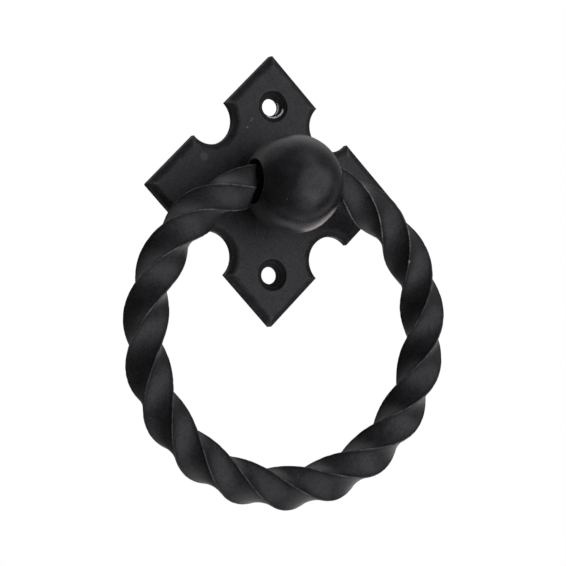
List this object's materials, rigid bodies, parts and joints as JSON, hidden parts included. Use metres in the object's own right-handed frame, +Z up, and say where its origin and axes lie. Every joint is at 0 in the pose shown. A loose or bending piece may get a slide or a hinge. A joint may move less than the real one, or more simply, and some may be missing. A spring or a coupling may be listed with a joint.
{
  "type": "door knocker",
  "caption": "Twisted-bar ring door knocker: a ring of twisted square bar swings from a ball on a diamond-shaped, notched and bevelled back plate.",
  "frame": {"origin": "centre of the back plate's back face, which lies on the door", "axes": "+X to the right as a caller sees it, -Y out of the door towards the caller, +Z up"},
  "size_m": [0.1417, 0.0425, 0.1844],
  "materials": {
    "plate_black": "matte black powder coat over steel",
    "ball_black": "satin black powder coat over steel",
    "ring_black": "satin black powder coat over steel",
    "pin_steel": "dark oiled steel",
    "screw_steel": "plain steel"
  },
  "bodies": {
    "plate_assembly": {"back_plate": "plate_black", "ball": "ball_black", "ball_screw": "screw_steel", "ball_dowel": "screw_steel"},
    "ring_assembly": {"twisted_ring": "ring_black", "pivot_pin": "pin_steel"}
  },
  "joints": [
    {"name": "ring_swing", "type": "hinge", "parent": "plate_assembly", "child": "ring_assembly", "pos_m": [0, -0.0225, 0.0012], "axis": [-1, 0, 0], "range_deg": [-1.8, 190]}
  ]
}
